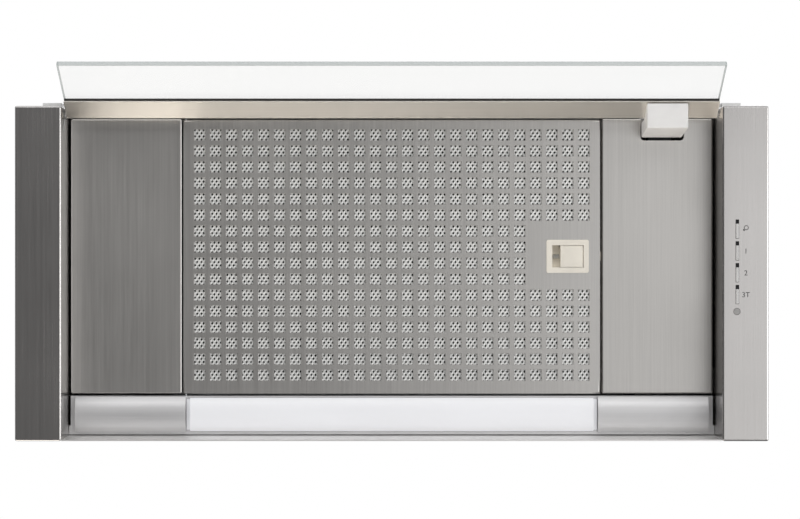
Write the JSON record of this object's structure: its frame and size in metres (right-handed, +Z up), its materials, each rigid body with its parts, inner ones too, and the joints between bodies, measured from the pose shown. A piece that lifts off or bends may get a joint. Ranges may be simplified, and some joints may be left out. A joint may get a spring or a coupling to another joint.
{
  "type": "under cabinet range hood",
  "caption": "Slim brushed steel range hood for mounting under a wall cabinet, with hinged glass visor, perforated grease filter, lamp strip and side push buttons",
  "frame": {"origin": "middle of the top face, where the hood meets the cabinet", "axes": "+X to the switch side along the width, +Y to the wall, +Z up out of the top face; the hood hangs as in use"},
  "size_m": [0.598, 0.2983, 0.2414],
  "materials": {
    "brushed_steel": "fine vertical brushing",
    "galvanised_steel": "zinc coated",
    "aluminium_mesh": "expanded metal",
    "bright_aluminium": "bright rolled",
    "tempered_glass": "clear with green edges",
    "black_rubber": "matt",
    "cream_plastic": "satin",
    "light_grey_plastic": "satin",
    "white_plastic": "satin",
    "dark_plastic": "satin",
    "opal_lens": "opal, translucent",
    "lamp_glass": "opal tube",
    "circuit_board": "lacquered",
    "copper_winding": "enamelled wire"
  },
  "bodies": {
    "hood_body": {"button_holder": "dark_plastic", "cable_gland": "dark_plastic", "carcass": "brushed_steel", "control_board": "circuit_board", "flap_pin": "galvanised_steel", "front_cross_member": "galvanised_steel", "indicator_lens": "light_grey_plastic", "inlet_ring": "dark_plastic", "lamp_base_plate": "brushed_steel", "lamp_cover_left": "brushed_steel", "lamp_cover_right": "brushed_steel", "lamp_driver": "white_plastic", "lamp_lens": "opal_lens", "lamp_reflector": "bright_aluminium", "lamp_socket_left": "white_plastic", "lamp_socket_right": "white_plastic", "lamp_tube": "lamp_glass", "left_blank_panel": "brushed_steel", "left_side_housing": "brushed_steel", "microswitch": "dark_plastic", "motor_capacitor": "white_plastic", "motor_case": "galvanised_steel", "motor_end_cap": "galvanised_steel", "motor_stator": "copper_winding", "outlet_box": "galvanised_steel", "outlet_collar": "dark_plastic", "rear_apron": "brushed_steel", "rear_cross_member": "galvanised_steel", "right_blank_panel": "brushed_steel", "right_side_housing": "brushed_steel", "scroll_inlet_plate": "galvanised_steel", "scroll_roof_plate": "galvanised_steel", "scroll_wall": "galvanised_steel", "terminal_box": "dark_plastic", "visor_hinge_block_left": "white_plastic", "visor_hinge_block_right": "white_plastic", "visor_spring": "galvanised_steel"},
    "visor": {"visor_rail": "brushed_steel", "visor_gasket": "black_rubber", "visor_glass": "tempered_glass", "visor_arm": "light_grey_plastic", "visor_pivot_left": "light_grey_plastic", "visor_pivot_right": "light_grey_plastic"},
    "filter": {"filter_front_plate": "brushed_steel", "filter_mesh": "aluminium_mesh", "filter_retainer": "galvanised_steel", "filter_pin_front": "galvanised_steel", "filter_pin_rear": "galvanised_steel", "latch_frame": "cream_plastic", "latch_spring": "galvanised_steel"},
    "latch": {"latch_slider": "cream_plastic"},
    "lamp_button": {"button_lamp": "light_grey_plastic"},
    "speed_1_button": {"button_speed_1": "light_grey_plastic"},
    "speed_2_button": {"button_speed_2": "light_grey_plastic"},
    "speed_3_button": {"button_speed_3": "light_grey_plastic"},
    "plunger": {"switch_plunger": "white_plastic"},
    "fan": {"impeller": "dark_plastic", "motor_shaft": "galvanised_steel"},
    "left_flap": {"outlet_flap_left": "dark_plastic"},
    "right_flap": {"outlet_flap_right": "dark_plastic"}
  },
  "joints": [
    {"name": "visor_swing", "type": "hinge", "parent": "hood_body", "child": "visor", "pos_m": [0, -0.1292, -0.1516], "axis": [-1, 0, 0], "range_deg": [0, 50]},
    {"name": "filter_drop", "type": "hinge", "parent": "hood_body", "child": "filter", "pos_m": [-0.1674, -0.0132, -0.1288], "axis": [0, 1, 0], "range_deg": [0, 80]},
    {"name": "latch_slide", "type": "slide", "parent": "filter", "child": "latch", "axis": [-1, 0, 0], "range_m": [0, 0.0045], "stiffness_N_per_m": 300, "springref_m": -0.002, "deforming": ["latch_spring"]},
    {"name": "lamp_press", "type": "slide", "parent": "hood_body", "child": "lamp_button", "axis": [0, 0, 1], "range_m": [0, 0.0012], "stiffness_N_per_m": 400, "springref_m": -0.002},
    {"name": "speed_1_press", "type": "slide", "parent": "hood_body", "child": "speed_1_button", "axis": [0, 0, 1], "range_m": [0, 0.0012], "stiffness_N_per_m": 400, "springref_m": -0.002},
    {"name": "speed_2_press", "type": "slide", "parent": "hood_body", "child": "speed_2_button", "axis": [0, 0, 1], "range_m": [0, 0.0012], "stiffness_N_per_m": 400, "springref_m": -0.002},
    {"name": "speed_3_press", "type": "slide", "parent": "hood_body", "child": "speed_3_button", "axis": [0, 0, 1], "range_m": [0, 0.0012], "stiffness_N_per_m": 400, "springref_m": -0.002},
    {"name": "plunger_press", "type": "slide", "parent": "hood_body", "child": "plunger", "axis": [0, 0, 1], "range_m": [0, 0.001], "stiffness_N_per_m": 400, "springref_m": -0.001},
    {"name": "fan_spin", "type": "hinge", "parent": "hood_body", "child": "fan", "pos_m": [0.072, -0.002, -0.074], "axis": [0, 0, 1], "continuous": true},
    {"name": "left_flap_swing", "type": "hinge", "parent": "hood_body", "child": "left_flap", "pos_m": [-0.1142, 0.058, 0.017], "axis": [0, 1, 0], "range_deg": [0, 75]},
    {"name": "right_flap_swing", "type": "hinge", "parent": "hood_body", "child": "right_flap", "pos_m": [-0.1098, 0.058, 0.017], "axis": [0, -1, 0], "range_deg": [0, 75]}
  ]
}
